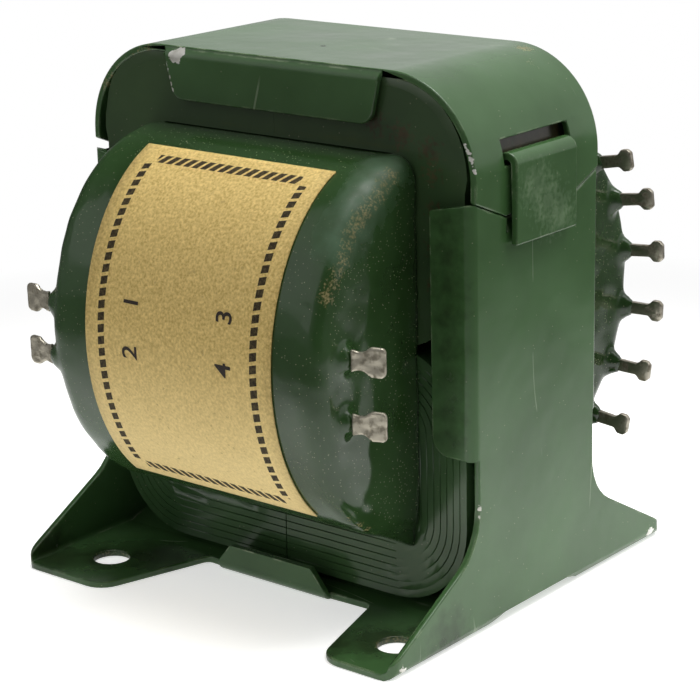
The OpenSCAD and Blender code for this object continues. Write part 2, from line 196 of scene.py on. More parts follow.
softbox("top_softbox", place=(0.08, 0.12, 0.75), size=0.50, power=5.6)
softbox("side_softbox", place=(0.40, 0.25, 0.60), size=0.40, power=0.9)
softbox("front_softbox", place=(-0.25, -0.62, 0.66), size=1.10, power=1.8)

# %% [markdown]
# ## Green enamel
# The finished transformer was dipped in a thick stoving enamel. It is glossy, a little deeper where it
# gathered and thinner on the edges, where handling has rubbed it through to bare steel. Dust stuck to it as
# pale specks. One function mixes this finish for the sheet metal, the core and the coil, because all three
# came out of the same bath. Pictures could be painted for each piece, but patterns worked out from real
# sizes run over all of them without a seam. Each kind of mark is a small function of its own that takes a
# colour and gives back a changed one.

# %% Kinds of wear and of painted shade
# Two colours in patches; the grain of the rim, its reach inward and outward and its softness, in millimetres;
# and how strong, metallic and dull the mark is
WEAR_AND_SHADE = {
    "chip": {"dark": "#c4c2b8", "pale": "#f6f5ef", "grain": 0.6, "inward": 0.35, "outward": 0.25,
             "soft": 0.08, "strength": 1.0, "metal": 0.4, "dull": 0.15},
    "rub": {"dark": "#857a52", "pale": "#b9a473", "grain": 0.3, "inward": 1.1, "outward": 0.8,
            "soft": 1.0, "strength": 0.65, "metal": 0.0, "dull": 0.4},
    "stain": {"dark": "#3b2a1d", "pale": "#553c2c", "grain": 0.6, "inward": 2.2, "outward": 1.2,
              "soft": 1.6, "strength": 0.65, "metal": 0.0, "dull": 0.1},
    "haze": {"dark": "#2b4726", "pale": "#39563a", "grain": 1.5, "inward": 0.8, "outward": 0.8,
             "soft": 2.5, "strength": 1.0, "metal": 0.0, "dull": 0.55},
    "scuff": {"dark": "#5f7557", "pale": "#7f9574", "grain": 0.7, "inward": 2.5, "outward": 2.0,
              "soft": 3.0, "strength": 0.45, "metal": 0.0, "dull": 0.12},
    # Not wear but painted shade: dark colours laid where the body and the coil shade the sheet
    "painted_shade": {"dark": "#18220f", "pale": "#222e18", "grain": 1.5, "inward": 1.5, "outward": 1.5,
              "soft": 4.0, "strength": 0.75, "metal": 0.0, "dull": 0.08},
    "pit": {"dark": "#0b0f09", "pale": "#141a10", "grain": 0.3, "inward": 0.1, "outward": 0.1,
            "soft": 0.05, "strength": 1.0, "metal": 0.0, "dull": 0.2},
}
print("kinds of wear:", ", ".join(WEAR_AND_SHADE))


def streak(start, end, radius, count):
    """Places in a row between two points, each x, y, z and a radius in millimetres on the body."""
    a, b = Vector(start), Vector(end)
    return [(*a.lerp(b, i / (count - 1)), radius) for i in range(count)]


# %% Worn places and places of painted shade, in millimetres on the body
sheet_wear_and_shade = {
    # Painted shade: a dark film on the front feet and on the flange of the right wall, which the body and the
    # coil shade
    "painted_shade": streak((18.5, -27.0, 0.9), (28.5, -19.0, 0.9), 6.0, 3)
    + streak((-18.5, -19.0, 0.9), (-28.5, -27.0, 0.9), 6.0, 3)
    + streak((27.3, -13.6, 25.0), (27.3, -13.6, 52.0), 3.2, 8),
    # The left rim and the rear edge of the cap, and where screw heads have turned on the feet
    "rub": streak((-20.6, -13.0, 68.3), (-28.6, -13.0, 63.0), 0.9, 7)
    + [(21.6, 10.5, 68.8, 1.2), (25.0, 7.8, 68.4, 1.0), (-22.5, -22.5, 0.9, 2.5), (25.9, -22.5, 0.9, 2.7)],
    # The folded tongue
    "scuff": streak((32.6, -2.5, 55.0), (32.6, 2.5, 50.5), 4.0, 3),
    # Corner of the cap's flange, edge of its side, edge of the wall, and corners of the feet
    "chip": [(-15.4, -13.7, 67.9, 1.1), (-14.6, -13.5, 68.4, 0.8)]
    + streak((-17.0, -13.5, 66.8), (-15.9, -13.6, 62.6), 0.3, 6)
    + streak((29.6, -13.0, 61.4), (31.1, -13.0, 58.2), 0.3, 10)
    + streak((31.2, -12.6, 16.6), (31.2, -13.4, 13.9), 0.5, 4)
    + [(30.6, -28.3, 1.2, 0.7), (31.0, -27.6, 0.6, 0.6), (31.4, 27.0, 1.0, 0.9)],
    "pit": [(0.5, -3.25, 69.1, 0.4)],
}
core_wear = {
    # Rusty varnish on the upper right of the core
    "stain": streak((16.0, -12.5, 62.5), (24.0, -12.5, 60.0), 2.2, 3)
    + streak((24.5, -12.5, 57.0), (25.0, -12.5, 44.0), 1.8, 4)
    + streak((29.3, -4.0, 59.5), (29.3, 5.0, 59.5), 4.0, 4),
}
coil_wear = {
    # The right rim of the wrap, which is dulled and rubbed where it is handled
    "haze": streak((19.5, -15.5, 57.8), (20.6, -25.5, 51.0), 4.0, 5),
    "rub": streak((21.0, -16.6, 57.0), (21.3, -23.0, 53.0), 1.3, 6)
    + streak((21.3, -24.2, 51.9), (21.4, -28.8, 45.4), 1.1, 6)
    + streak((21.2, -29.6, 19.6), (21.2, -22.0, 14.6), 0.6, 6),
}
for part, marks in (("sheet", sheet_wear_and_shade), ("core", core_wear), ("coil", coil_wear)):
    print(part, "wear:", {kind: len(places) for kind, places in marks.items()})

# %% Dust and scratches
SPECK_R = 0.08
HAIR = 11 * MM
HAIR_WIDTH = 0.0025
HAIR_PULL = (0.3, 1.0, 0.15)
HAIR_SHARE = 0.6


def dusty(tree, spot, colour, drift, gap):
    """Pale dust that dried into the coat in patches. gap is the distance between specks in millimetres.
    Real dust is too fine to show, so the specks are drawn a little larger."""
    cell = add(tree, "ShaderNodeTexVoronoi", {"Vector": spot, "Scale": 1 / (gap * MM)}).outputs
    rim = SPECK_R / gap
    size = {"Value": cell["Distance"], "From Min": rim, "From Max": rim / 2, "To Max": 0.6}
    near = add(tree, "ShaderNodeMapRange", size).outputs[0]
    pick = add(tree, "ShaderNodeSeparateColor", {0: cell["Color"]}).outputs[0]
    kept = add(tree, "ShaderNodeMath", {0: pick, 1: drift}, operation="GREATER_THAN").outputs[0]
    speck = add(tree, "ShaderNodeMath", {0: near, 1: kept}, operation="MULTIPLY").outputs[0]
    return add(tree, "ShaderNodeMix", {0: speck, 6: colour, 7: tint("#a9a98c")}, data_type="RGBA").outputs[2]


def scratched(tree, spot, colour, strength):
    """Hair-fine scratches: the lines where one cloud crosses its middle, kept where another is dense."""
    drawn = add(tree, "ShaderNodeVectorMath", {0: spot, 1: HAIR_PULL}, operation="MULTIPLY").outputs[0]
    wave = add(tree, "ShaderNodeTexNoise", {"Vector": drawn, "Scale": 1 / HAIR, "Detail": 1.0}).outputs[0]
    line = add(tree, "ShaderNodeMath", {0: wave, 1: 0.5, 2: HAIR_WIDTH}, operation="COMPARE").outputs[0]
    gate = add(tree, "ShaderNodeTexNoise", {"Vector": spot, "Scale": 2 / HAIR, "Detail": 0.0}).outputs[0]
    range_of_gate = {"Value": gate, "From Min": 0.62, "From Max": 0.7, "To Max": HAIR_SHARE * strength}
    dense = add(tree, "ShaderNodeMapRange", range_of_gate).outputs[0]
    hair = add(tree, "ShaderNodeMath", {0: line, 1: dense}, operation="MULTIPLY").outputs[0]
    return add(tree, "ShaderNodeMix", {0: hair, 6: colour, 7: tint("#a3b096")}, data_type="RGBA").outputs[2]


# %% Rubbed edges
EDGE_REACH = 0.4 * MM
PATCH = 2.4 * MM
EDGE_DULL = 0.2


def rubbed_edges(tree, spot, colour, rough, strength):
    """Edges, where the coat is thin and in places rubbed: there the normal differs from a softened one."""
    soft = add(tree, "ShaderNodeBevel", {"Radius": EDGE_REACH}, samples=6).outputs[0]
    true = add(tree, "ShaderNodeNewGeometry").outputs["Normal"]
    same = add(tree, "ShaderNodeVectorMath", {0: soft, 1: true}, operation="DOT_PRODUCT").outputs["Value"]
    edge = add(tree, "ShaderNodeMapRange", {"Value": same, "From Min": 0.995, "From Max": 0.93}).outputs[0]
    patch = add(tree, "ShaderNodeTexNoise", {"Vector": spot, "Scale": 1 / PATCH, "Detail": 4.0}).outputs[0]
    thin_coat = {"Value": patch, "From Min": 0.46, "From Max": 0.62, "To Max": strength}
    bare = add(tree, "ShaderNodeMapRange", thin_coat).outputs[0]
    worn = add(tree, "ShaderNodeMath", {0: edge, 1: bare}, operation="MULTIPLY").outputs[0]
    colour = add(tree, "ShaderNodeMix", {0: worn, 6: colour, 7: tint("#aab596")}, data_type="RGBA").outputs[2]
    dulled = {0: worn, 1: EDGE_DULL, 2: rough}
    rough = add(tree, "ShaderNodeMath", dulled, operation="MULTIPLY_ADD").outputs[0]
    return colour, rough


# %% Worn places with ragged rims
BLOTCH = 2 * MM
FAR_OUTSIDE = -1.0


def worn_or_shaded_place(tree, spot, colour, rough, kind, places):
    """One kind of wear or of painted shade: a field that is positive inside its round places, made ragged by
    a cloud.
    """
    look = WEAR_AND_SHADE[kind]
    field = FAR_OUTSIDE
    for x, y, z, radius in places:
        middle = TO_FRAME @ Vector((x, y, z))
        away = add(tree, "ShaderNodeVectorMath", {0: spot, 1: middle}, operation="DISTANCE").outputs["Value"]
        inside = add(tree, "ShaderNodeMath", {0: radius * MM, 1: away}, operation="SUBTRACT").outputs[0]
        field = add(tree, "ShaderNodeMath", {0: field, 1: inside}, operation="MAXIMUM").outputs[0]
    cloud = {"Vector": spot, "Scale": 1 / (look["grain"] * MM), "Detail": 5.0}
    grain = add(tree, "ShaderNodeTexNoise", cloud).outputs[0]
    rim = {"Value": grain, "From Min": 0.25, "From Max": 0.75,
           "To Min": -look["inward"] * MM, "To Max": look["outward"] * MM}
    ragged = add(tree, "ShaderNodeMapRange", rim).outputs[0]
    depth = add(tree, "ShaderNodeMath", {0: field, 1: ragged}, operation="ADD").outputs[0]
    cover = {"Value": depth, "From Min": 0.0, "From Max": look["soft"] * MM, "To Max": look["strength"]}
    mask = add(tree, "ShaderNodeMapRange", cover).outputs[0]
    blotch = add(tree, "ShaderNodeTexNoise", {"Vector": spot, "Scale": 1 / BLOTCH, "Detail": 4.0}).outputs[0]
    shade = add(tree, "ShaderNodeMapRange", {"Value": blotch, "From Min": 0.35, "From Max": 0.65}).outputs[0]
    two_tone = {0: shade, 6: tint(look["dark"]), 7: tint(look["pale"])}
    tone = add(tree, "ShaderNodeMix", two_tone, data_type="RGBA").outputs[2]
    colour = add(tree, "ShaderNodeMix", {0: mask, 6: colour, 7: tone}, data_type="RGBA").outputs[2]
    dulled = {0: mask, 1: look["dull"], 2: rough}
    rough = add(tree, "ShaderNodeMath", dulled, operation="MULTIPLY_ADD").outputs[0]
    if look["metal"]:
        metal = add(tree, "ShaderNodeMath", {0: mask, 1: look["metal"]}, operation="MULTIPLY").outputs[0]
        to_shader(tree, {"Metallic": metal})
    return colour, rough


# %% Enamel
DRIFT = 16 * MM
RUN_SIZE = 9 * MM
RUN_DEPTH = 0.25 * MM
PEEL_SIZE = 1.3 * MM
PEEL_DEPTH = 0.02 * MM
DULL_SPREAD = 0.1


def enamel(name, deep, thin, gloss, speck_gap, wear_and_shade, edge_wear):
    """Dipped and stoved green enamel: glossy, with slow runs and a fine orange peel. deep and thin are its
    colours in thick and thin coats; the worn places and the places of painted shade are given by kind, and
    edge_wear says how far edges are rubbed."""
    finish = bpy.data.materials.new(name)
    finish.use_nodes = True
    tree = finish.node_tree
    spot = add(tree, "ShaderNodeTexCoord").outputs["Object"]
    drift = add(tree, "ShaderNodeTexNoise", {"Vector": spot, "Scale": 1 / DRIFT, "Detail": 5.0}).outputs[0]
    coat = add(tree, "ShaderNodeMapRange", {"Value": drift, "From Min": 0.32, "From Max": 0.7}).outputs[0]
    colour = add(tree, "ShaderNodeMix", {0: coat, 6: tint(deep), 7: tint(thin)}, data_type="RGBA").outputs[2]
    dulling = {"Value": drift, "From Min": 0.3, "From Max": 0.75,
               "To Min": gloss, "To Max": gloss + DULL_SPREAD}
    rough = add(tree, "ShaderNodeMapRange", dulling).outputs[0]
    colour = dusty(tree, spot, colour, drift, speck_gap)
    if edge_wear:
        colour = scratched(tree, spot, colour, edge_wear)
        colour, rough = rubbed_edges(tree, spot, colour, rough, edge_wear)
    for kind, places in wear_and_shade.items():
        colour, rough = worn_or_shaded_place(tree, spot, colour, rough, kind, places)
    runs = add(tree, "ShaderNodeTexNoise", {"Vector": spot, "Scale": 1 / RUN_SIZE, "Detail": 2.0}).outputs[0]
    slow = add(tree, "ShaderNodeBump", {"Height": runs, "Distance": RUN_DEPTH, "Strength": 0.8}).outputs[0]
    peel = add(tree, "ShaderNodeTexNoise", {"Vector": spot, "Scale": 1 / PEEL_SIZE, "Detail": 3.0}).outputs[0]
    orange_peel = {"Height": peel, "Distance": PEEL_DEPTH, "Strength": 0.6, "Normal": slow}
    skin = add(tree, "ShaderNodeBump", orange_peel).outputs[0]
    to_shader(tree, {"Base Color": colour, "Roughness": rough, "Normal": skin})
    print(name, len(tree.nodes), "nodes")
    return finish


sheet_enamel = enamel("green_enamel_on_sheet_steel", deep="#36552e", thin="#45673d",
                      gloss=0.17, speck_gap=1.1, wear_and_shade=sheet_wear_and_shade, edge_wear=0.55)
upper_core_enamel = enamel("green_enamel_on_upper_core", deep="#30442a", thin="#3f5634",
                           gloss=0.14, speck_gap=0.9, wear_and_shade=core_wear, edge_wear=0.0)
lower_core_enamel = enamel("green_enamel_on_lower_core", deep="#2e462a", thin="#3f5b37",
                           gloss=0.14, speck_gap=0.9, wear_and_shade=core_wear, edge_wear=0.0)
coil_enamel = enamel("green_enamel_on_paper_wrap", deep="#23391b", thin="#314c29",
                     gloss=0.09, speck_gap=0.42, wear_and_shade=coil_wear, edge_wear=0.0)

# %% [markdown]
# ## Sheet metal
# The bracket and the cap were folded from steel sheet just under a millimetre thick. In the construction
# model their edges are sharp, but paint draws back from a sharp edge and leaves it rounded, and it is this
# small round that catches the light. So each is a merged copy of the construction mesh with its sharp edges
# bevelled. A Bevel modifier could do that too, but the operator can leave out the thin steps where two
# sheets meet.

# %% Copies with painted edges
SHARP = math.radians(35)
FLAT = math.radians(0.6)
WELD = 0.004
SLIM_STEP = 0.12
ROUND_STEPS = 3


def copy_of(node):
    """A merged copy of a construction mesh in millimetres on the body, with its flat faces made whole."""
    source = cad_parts[node]
    bm = bmesh.new()
    bm.from_mesh(source.data)
    bmesh.ops.transform(bm, matrix=TO_FRAME.inverted() @ source.matrix_world, verts=bm.verts)
    bmesh.ops.remove_doubles(bm, verts=bm.verts, dist=WELD)
    bmesh.ops.dissolve_limit(bm, angle_limit=FLAT, verts=bm.verts, edges=bm.edges)
    return bm


def slim(face):
    """A step left where two sheets meet, too narrow to see."""
    return 2 * face.calc_area() / face.calc_perimeter() < SLIM_STEP


def round_edges(bm, radius):
    """Bevels every sharp edge but those of slim steps, and holds the result on the old surface."""
    before = BVHTree.FromBMesh(bm)
    sharp = [e for e in bm.edges
             if e.is_manifold and e.calc_face_angle() > SHARP and not any(map(slim, e.link_faces))]
    bmesh.ops.bevel(bm, geom=sharp, offset=radius, segments=ROUND_STEPS, profile=0.5, affect="EDGES",
                    material=-1)
    stray = 0
    for v in bm.verts:
        nearest, _, _, distance = before.find_nearest(v.co)
        if distance > radius:
            v.co = nearest
            stray += 1
    print(len(sharp), "edges rounded,", stray, "points pulled back")


# %% Placing a piece
def place(bm, name, finish, slot, *nodes):
    """Makes a piece from millimetres on the body, paints it, and lets it stand for construction nodes."""
    bmesh.ops.transform(bm, matrix=TO_FRAME, verts=bm.verts)
    bm.normal_update()
    for face in bm.faces:
        face.smooth = True
    for edge in bm.edges:
        edge.smooth = edge.calc_face_angle(0.0) < SHARP
    mesh = bpy.data.meshes.new(name)
    bm.to_mesh(mesh)
    bm.free()
    mesh.materials.append(finish)
    piece = bpy.data.objects.new(name, mesh)
    bpy.context.collection.objects.link(piece)
    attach(piece, "root")
    if nodes:
        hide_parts(*nodes)
    print(name, len(mesh.polygons), "faces")
    return piece


# %% Folded sheet
PAINT_ROUND = 0.22
NEAR = 0.02
WALL_OUT = 31.2
WALL_Y = 12.5
WALL_BEND_X = 31.146
FLANGE_FOOT = 22.6
CAP_Y = 13.0
CAP_TOP = 69.1
CAP_BEND_Y = 12.35
CAP_FLANGE_HALF_W = 17.45


def close_steps(bm):
    """Closes the thin steps where a flat plate ends on the curve of a bend."""
    geometry = bm.verts[:] + bm.edges[:] + bm.faces[:]
    bmesh.ops.bisect_plane(bm, geom=geometry, plane_co=(0, 0, FLANGE_FOOT), plane_no=(0, 0, 1))
    for v in bm.verts:
        x, y, z = map(abs, v.co)
        if abs(x - WALL_OUT) < NEAR and abs(y - WALL_Y) < NEAR and z > FLANGE_FOOT - NEAR:
            v.co.x = math.copysign(WALL_BEND_X, v.co.x)
        if abs(y - CAP_Y) < NEAR and abs(z - CAP_TOP) < NEAR and x < CAP_FLANGE_HALF_W:
            v.co.y = math.copysign(CAP_BEND_Y, v.co.y)
    bmesh.ops.remove_doubles(bm, verts=bm.verts, dist=NEAR)


for node in ("mounting_bracket", "top_cap"):
    folded = copy_of(node)
    close_steps(folded)
    round_edges(folded, PAINT_ROUND)
    shell = place(folded, node + "_painted", sheet_enamel, "green_enamel_steel", node)
    even_light = shell.modifiers.new("even_light", "WEIGHTED_NORMAL")
    even_light.keep_sharp = True

# %% [markdown]
# ## Wound core
# Each core loop is a long steel strip wound on a former, soaked in varnish, and cut in two. Its layers show
# on the lower loop as flat bands with thin grooves between them, which run round the corners; on the upper
# loop the enamel has filled the grooves. The strip itself is much thinner than a band, so each band stands
# for several turns. A cross-section with notched edges is swept along half a loop: straight, round a corner
# by a spin, up, round, back. So every groove follows the strip by itself, and none has to be drawn.

# %% Sweeping a notched section
CORE_HALF_W = 29.2
CORE_Y = 12.5
LOOP_H = 33.0
PILE = 9.0
LOOP_OUT_R = 2.0 + PILE
CORE_MID_Z = 35.05
BUNDLES = 9
GROOVE_HALF = 0.08
TURN_STEPS = 10


def notched_section(bm, groove, gap, low):
    """The pile of strip where the loop is cut: flat bands with a thin notch between each two."""
    steps = [(0, 0)]
    for k in range(1, BUNDLES):
        at = PILE * k / BUNDLES
        steps += [(at - GROOVE_HALF, 0), (at, 1), (at + GROOVE_HALF, 0)]
    steps.append((PILE, 0))
    ring = []
    for edge in (-1, 1):
        row = [bm.verts.new((gap, edge * (CORE_Y - groove * dip), low + at)) for at, dip in steps]
        ring += row if edge < 0 else row[::-1]
    return bm.faces.new(ring)


def run(bm, faces, way, steps=1):
    """Extrudes faces straight along a way in equal steps and gives back the last ones."""
    for _ in range(steps):
        grown = bmesh.ops.extrude_face_region(bm, geom=faces)["geom"]
        points = [v for v in grown if isinstance(v, bmesh.types.BMVert)]
        bmesh.ops.translate(bm, vec=way / steps, verts=points)
        faces = [f for f in grown if isinstance(f, bmesh.types.BMFace)]
    return faces


def turn(bm, faces, centre):
    """Spins faces a quarter turn round a corner and gives back the last ones."""
    grown = bmesh.ops.spin(bm, geom=faces, cent=centre, axis=(0, -1, 0), angle=math.pi / 2, steps=TURN_STEPS)
    return [f for f in grown["geom_last"] if isinstance(f, bmesh.types.BMFace)]


# %% Enamel in the seams
SEAM_RIM = 0.5
SEAM_LEAST = 0.1
SEAM_RISE = 0.5
SEAM_FALL = 0.25
SEAM_BULGE = 0.3
SEAM_FULL_AT = 40
SEAM_END = (55, 70)


def ramp(value, start, end):
    """0 before start, 1 past end, and straight between them."""
    return min(max((value - start) / (end - start), 0.0), 1.0)


def fill_seam(v, centre_x, centre_z):
    """Moves the rim of the upper loop out to the cap, where enamel has filled the seam round the corner."""
    across, up = v.co.x - centre_x, v.co.z - centre_z
    if across < 0 or up < 0 or math.hypot(across, up) < LOOP_OUT_R - SEAM_RIM:
        return
    angle = math.degrees(math.atan2(across, up))
    ending = ramp(angle, *SEAM_END)
    fill = SEAM_RISE * ramp(angle, 0, SEAM_FULL_AT) + SEAM_LEAST - SEAM_FALL * ending
    v.co += Vector((across, 0, up)).normalized() * fill
    if v.co.y < 0:
        v.co.y -= SEAM_BULGE * (1 - ending)


# %% Core halves
LIMB_STEPS = 8
UPRIGHT_STEPS = 6
CORE_WELD = 0.002
FILL_MEAN = 0.5
FILL_SPREAD = 1.1
FILL_WAVES = 0.13
FILL_SEED = 3.7
SWELL = 0.07
SWELL_WAVES = 0.35


def core_half(side, lower, groove, gap):
    """Sweeps half a wound loop on one side of the body, drawn on the right and mirrored for the left."""
    bm = bmesh.new()
    low = CORE_MID_Z - LOOP_H if lower else CORE_MID_Z
    high = low + LOOP_H
    corner_x = CORE_HALF_W - LOOP_OUT_R
    limb = Vector((corner_x - gap, 0, 0))
    upright = Vector((0, 0, LOOP_H - 2 * LOOP_OUT_R))
    lead = run(bm, [notched_section(bm, groove, gap, low)], limb, LIMB_STEPS)
    lead = turn(bm, lead, (corner_x, 0, low + LOOP_OUT_R))
    lead = run(bm, lead, upright, UPRIGHT_STEPS)
    lead = turn(bm, lead, (corner_x, 0, high - LOOP_OUT_R))
    run(bm, lead, -limb, LIMB_STEPS)
    inner = [f for f in bm.faces if len(f.edges) > 4 and not all(abs(v.co.x - gap) < 1e-4 for v in f.verts)]
    bmesh.ops.delete(bm, geom=inner, context="FACES_ONLY")
    bmesh.ops.remove_doubles(bm, verts=bm.verts, dist=CORE_WELD)
    for v in bm.verts:
        dip = CORE_Y - abs(v.co.y)
        cloud = noise.noise(Vector((v.co.x * FILL_WAVES, v.co.z * FILL_WAVES + v.co.y, FILL_SEED * side)))
        swell = SWELL * noise.noise(v.co * SWELL_WAVES)
        hollow = dip * ramp(FILL_MEAN + FILL_SPREAD * cloud, 0, 1)
        v.co.y = math.copysign(CORE_Y - hollow + swell, v.co.y)
        if not lower:
            fill_seam(v, corner_x, high - LOOP_OUT_R)
    if side < 0:
        bmesh.ops.scale(bm, vec=(-1, 1, 1), verts=bm.verts)
    bmesh.ops.recalc_face_normals(bm, faces=bm.faces)
    return bm


# Each level with the depth of its grooves, half the gap at the cut, and its finish
LEVELS = (("lower", 0.3, 0.08, lower_core_enamel), ("upper", 0.0, 0.01, upper_core_enamel))
for side, end in ((-1, "left"), (1, "right")):
    for level, groove, gap, finish in LEVELS:
        half = core_half(side, level == "lower", groove, gap)
        place(half, f"core_{level}_{end}_wound", finish, "green_enamel_core", f"core_{level}_{end}")

# %% [markdown]
# ## Coil
# The coil is a fat roll of wire and paper, wrapped in paper that is folded over at its ends and drowned in
# enamel. It has no sharp line anywhere. Its two bulges start as drums with rounded rims that are cut along
# the core's face. Cones of enamel stand where the rear lugs come out, drops where the front ones do, and a
# wedge at the right is the folded end of the wrap. A boolean union would leave a crease wherever two of
# these meet, so a voxel remesh welds all of it into one skin, and smoothing lets it flow.

# %% Lug places
COIL_Y = 12.8
COIL_HALF_H = 23.75
COIL_END_X = 22.1
FRONT_DEPTH = 19.2
FRONT_COUNT = 2
FRONT_REACH = 1.2
# Pitch, inset and rise of the front lugs at the left and the right end
FRONT_PAIR = {-1: (7.0, 1.8, -0.4), 1: (7.8, 5.0, -1.3)}
REAR_DEPTH = 22.7
REAR_COUNT = 6
REAR_REACH = 1.7
REAR_INSET = 1.6
REAR_DROP = 0.8
REAR_STEP = 21.0
REAR_LEAN = 12.0


def front_lug_place(side, k):
    """Where the collar of a front lug ends, with the lug along +X."""
    pitch, inset, rise = FRONT_PAIR[side]
    tip = (COIL_END_X + FRONT_REACH, inset - COIL_Y - FRONT_DEPTH, CORE_MID_Z + rise + (0.5 - k) * pitch)
    return Matrix.Scale(side, 4, (1, 0, 0)) @ Matrix.Translation(tip)


def rear_lug_place(side, k):
    """Where the collar of a rear lug ends; the rear lugs fan out round the bulge."""
    t = math.radians(90 + (k - (REAR_COUNT - 1) / 2) * REAR_STEP)
    tip = (COIL_END_X + REAR_REACH, COIL_Y + (REAR_DEPTH - REAR_INSET) * math.sin(t),
           CORE_MID_Z - REAR_DROP + (COIL_HALF_H - REAR_INSET) * math.cos(t))
    lean = (Matrix.Rotation(math.radians(REAR_LEAN * math.sin(t)), 4, "Z")
            @ Matrix.Rotation(math.radians(-REAR_LEAN * math.cos(t)), 4, "Y"))
    return Matrix.Scale(side, 4, (1, 0, 0)) @ Matrix.Translation(tip) @ lean


print("places for", 2 * (FRONT_COUNT + REAR_COUNT), "lugs")

# %% Bulges of the coil
FOLD_R = 2.5
FOLD_STEPS = 8
SEAT = 0.5
DRUM_SIDES = 120
DRUM_CUTS = 12


def join(bm, other):
    """Adds one bmesh to another."""
    mesh = bpy.data.meshes.new("part_of_coil")
    other.to_mesh(mesh)
    other.free()
    bm.from_mesh(mesh)
    bpy.data.meshes.remove(mesh)


def bulge(bm, side, depth):
    """Half a drum lying along X on the front (side -1) or rear (side 1) face of the core."""
    drum = bmesh.new()
    lying = Matrix.Rotation(math.pi / 2, 4, "Y")
    bmesh.ops.create_cone(drum, cap_ends=True, segments=DRUM_SIDES, radius1=1, radius2=1, depth=2,
                          matrix=lying)
    long_edges = [e for e in drum.edges if abs(e.verts[0].co.x - e.verts[1].co.x) > 1]
    bmesh.ops.subdivide_edges(drum, edges=long_edges, cuts=DRUM_CUTS)
    bmesh.ops.scale(drum, vec=(COIL_END_X, depth, COIL_HALF_H), verts=drum.verts)
    rims = [e for e in drum.edges if all(abs(abs(v.co.x) - COIL_END_X) < 0.01 for v in e.verts)]
    bmesh.ops.bevel(drum, geom=rims, offset=FOLD_R, segments=FOLD_STEPS, profile=0.5, affect="EDGES",
                    material=-1)
    geometry = drum.verts[:] + drum.edges[:] + drum.faces[:]
    bmesh.ops.bisect_plane(drum, geom=geometry, plane_co=(0, -side * SEAT, 0), plane_no=(0, -side, 0),
                           clear_outer=True)
    bmesh.ops.holes_fill(drum, edges=[e for e in drum.edges if e.is_boundary])
    bmesh.ops.translate(drum, vec=(0, side * COIL_Y, CORE_MID_Z), verts=drum.verts)
    join(bm, drum)


coil = bmesh.new()
bulge(coil, -1, FRONT_DEPTH)
bulge(coil, 1, REAR_DEPTH)
print("bulges:", len(coil.faces), "faces")

# %% Windings in the windows, folded end and run-up enamel
WINDOW_UP = 16.6
WINDOW_SIZE = (39.8, 25.6, 14.3)
FLAP_FROM = 18.4
FLAP_W = 3.0
FLAP_SIDE = ((-24.4, 16.0), (-12.4, 9.3), (-12.4, 17.0), (-22.0, 22.0))
DROP_BACK = 1.6
DROP_SIZE = (1.7, 1.25, 1.8)
COLLAR_R = 1.0
COLLAR_ROOT_R = 2.9
COLLAR_LENGTH = 3.6
COLLAR_FLAT = 0.6


def flap(bm):
    """The folded end of the wrap at the right: a flat wedge below the rim that reaches down to the core."""
    face = bm.faces.new([bm.verts.new((FLAP_FROM, y, z)) for y, z in FLAP_SIDE])
    run(bm, [face], Vector((FLAP_W, 0, 0)))


def drop(bm, at):
    """A drop of enamel round the root of a front lug."""
    stand = at @ Matrix.Translation((-DROP_BACK, 0, 0)) @ Matrix.Diagonal((*DROP_SIZE, 1))
    bmesh.ops.create_uvsphere(bm, u_segments=24, v_segments=16, radius=1, matrix=stand)


def collar(bm, at):
    """A flat cone of enamel that has run up a rear lug, from inside the coil to the collar's tip."""
    stand = (at @ Matrix.Translation((-COLLAR_LENGTH / 2, 0, 0)) @ Matrix.Rotation(math.pi / 2, 4, "Y")
             @ Matrix.Diagonal((1, COLLAR_FLAT, 1, 1)))
    bmesh.ops.create_cone(bm, cap_ends=True, segments=28, radius1=COLLAR_ROOT_R, radius2=COLLAR_R,
                          depth=COLLAR_LENGTH, matrix=stand)


for up in (-1, 1):
    window = Matrix.Translation((0, 0, CORE_MID_Z + up * WINDOW_UP)) @ Matrix.Diagonal((*WINDOW_SIZE, 1))
    bmesh.ops.create_cube(coil, size=1, matrix=window)
flap(coil)
for side in (-1, 1):
    for k in range(FRONT_COUNT):
        drop(coil, front_lug_place(side, k))
    for k in range(REAR_COUNT):
        collar(coil, rear_lug_place(side, k))
print("coil before it is welded:", len(coil.faces), "faces")

# %% Coil skin
VOXEL = 0.45
FLOW_PASSES = 5
SMOOTHING_LOSS = 0.13
# Height in millimetres and waves per millimetre of lumps all over, and of coarse and fine ones near the ends
LUMPS = (0.04, 0.09)
COARSE_LUMPS = (0.16, 0.17)
FINE_LUMPS = (0.09, 0.4)
END_ZONE = (16, 21)


def remeshed(bm, voxel, passes):
    """Welds overlapping solids into one skin of small quads and smooths it."""
    mesh = bpy.data.meshes.new("rough_skin")
    bmesh.ops.recalc_face_normals(bm, faces=bm.faces)
    bm.to_mesh(mesh)
    bm.free()
    rough = bpy.data.objects.new("rough_skin", mesh)
    bpy.context.collection.objects.link(rough)
    weld = rough.modifiers.new("weld", "REMESH")
    weld.mode = "VOXEL"
    weld.voxel_size = voxel
    done = bmesh.new()
    done.from_object(rough, bpy.context.evaluated_depsgraph_get())
    bpy.data.objects.remove(rough)
    bpy.data.meshes.remove(mesh)
    for _ in range(passes):
        bmesh.ops.smooth_vert(done, verts=done.verts, factor=0.5,
                              use_axis_x=True, use_axis_y=True, use_axis_z=True)
    return done


def lump(point, height, waves):
    """How far a point of a lumpy skin stands out."""
    return height * noise.noise(point * waves)


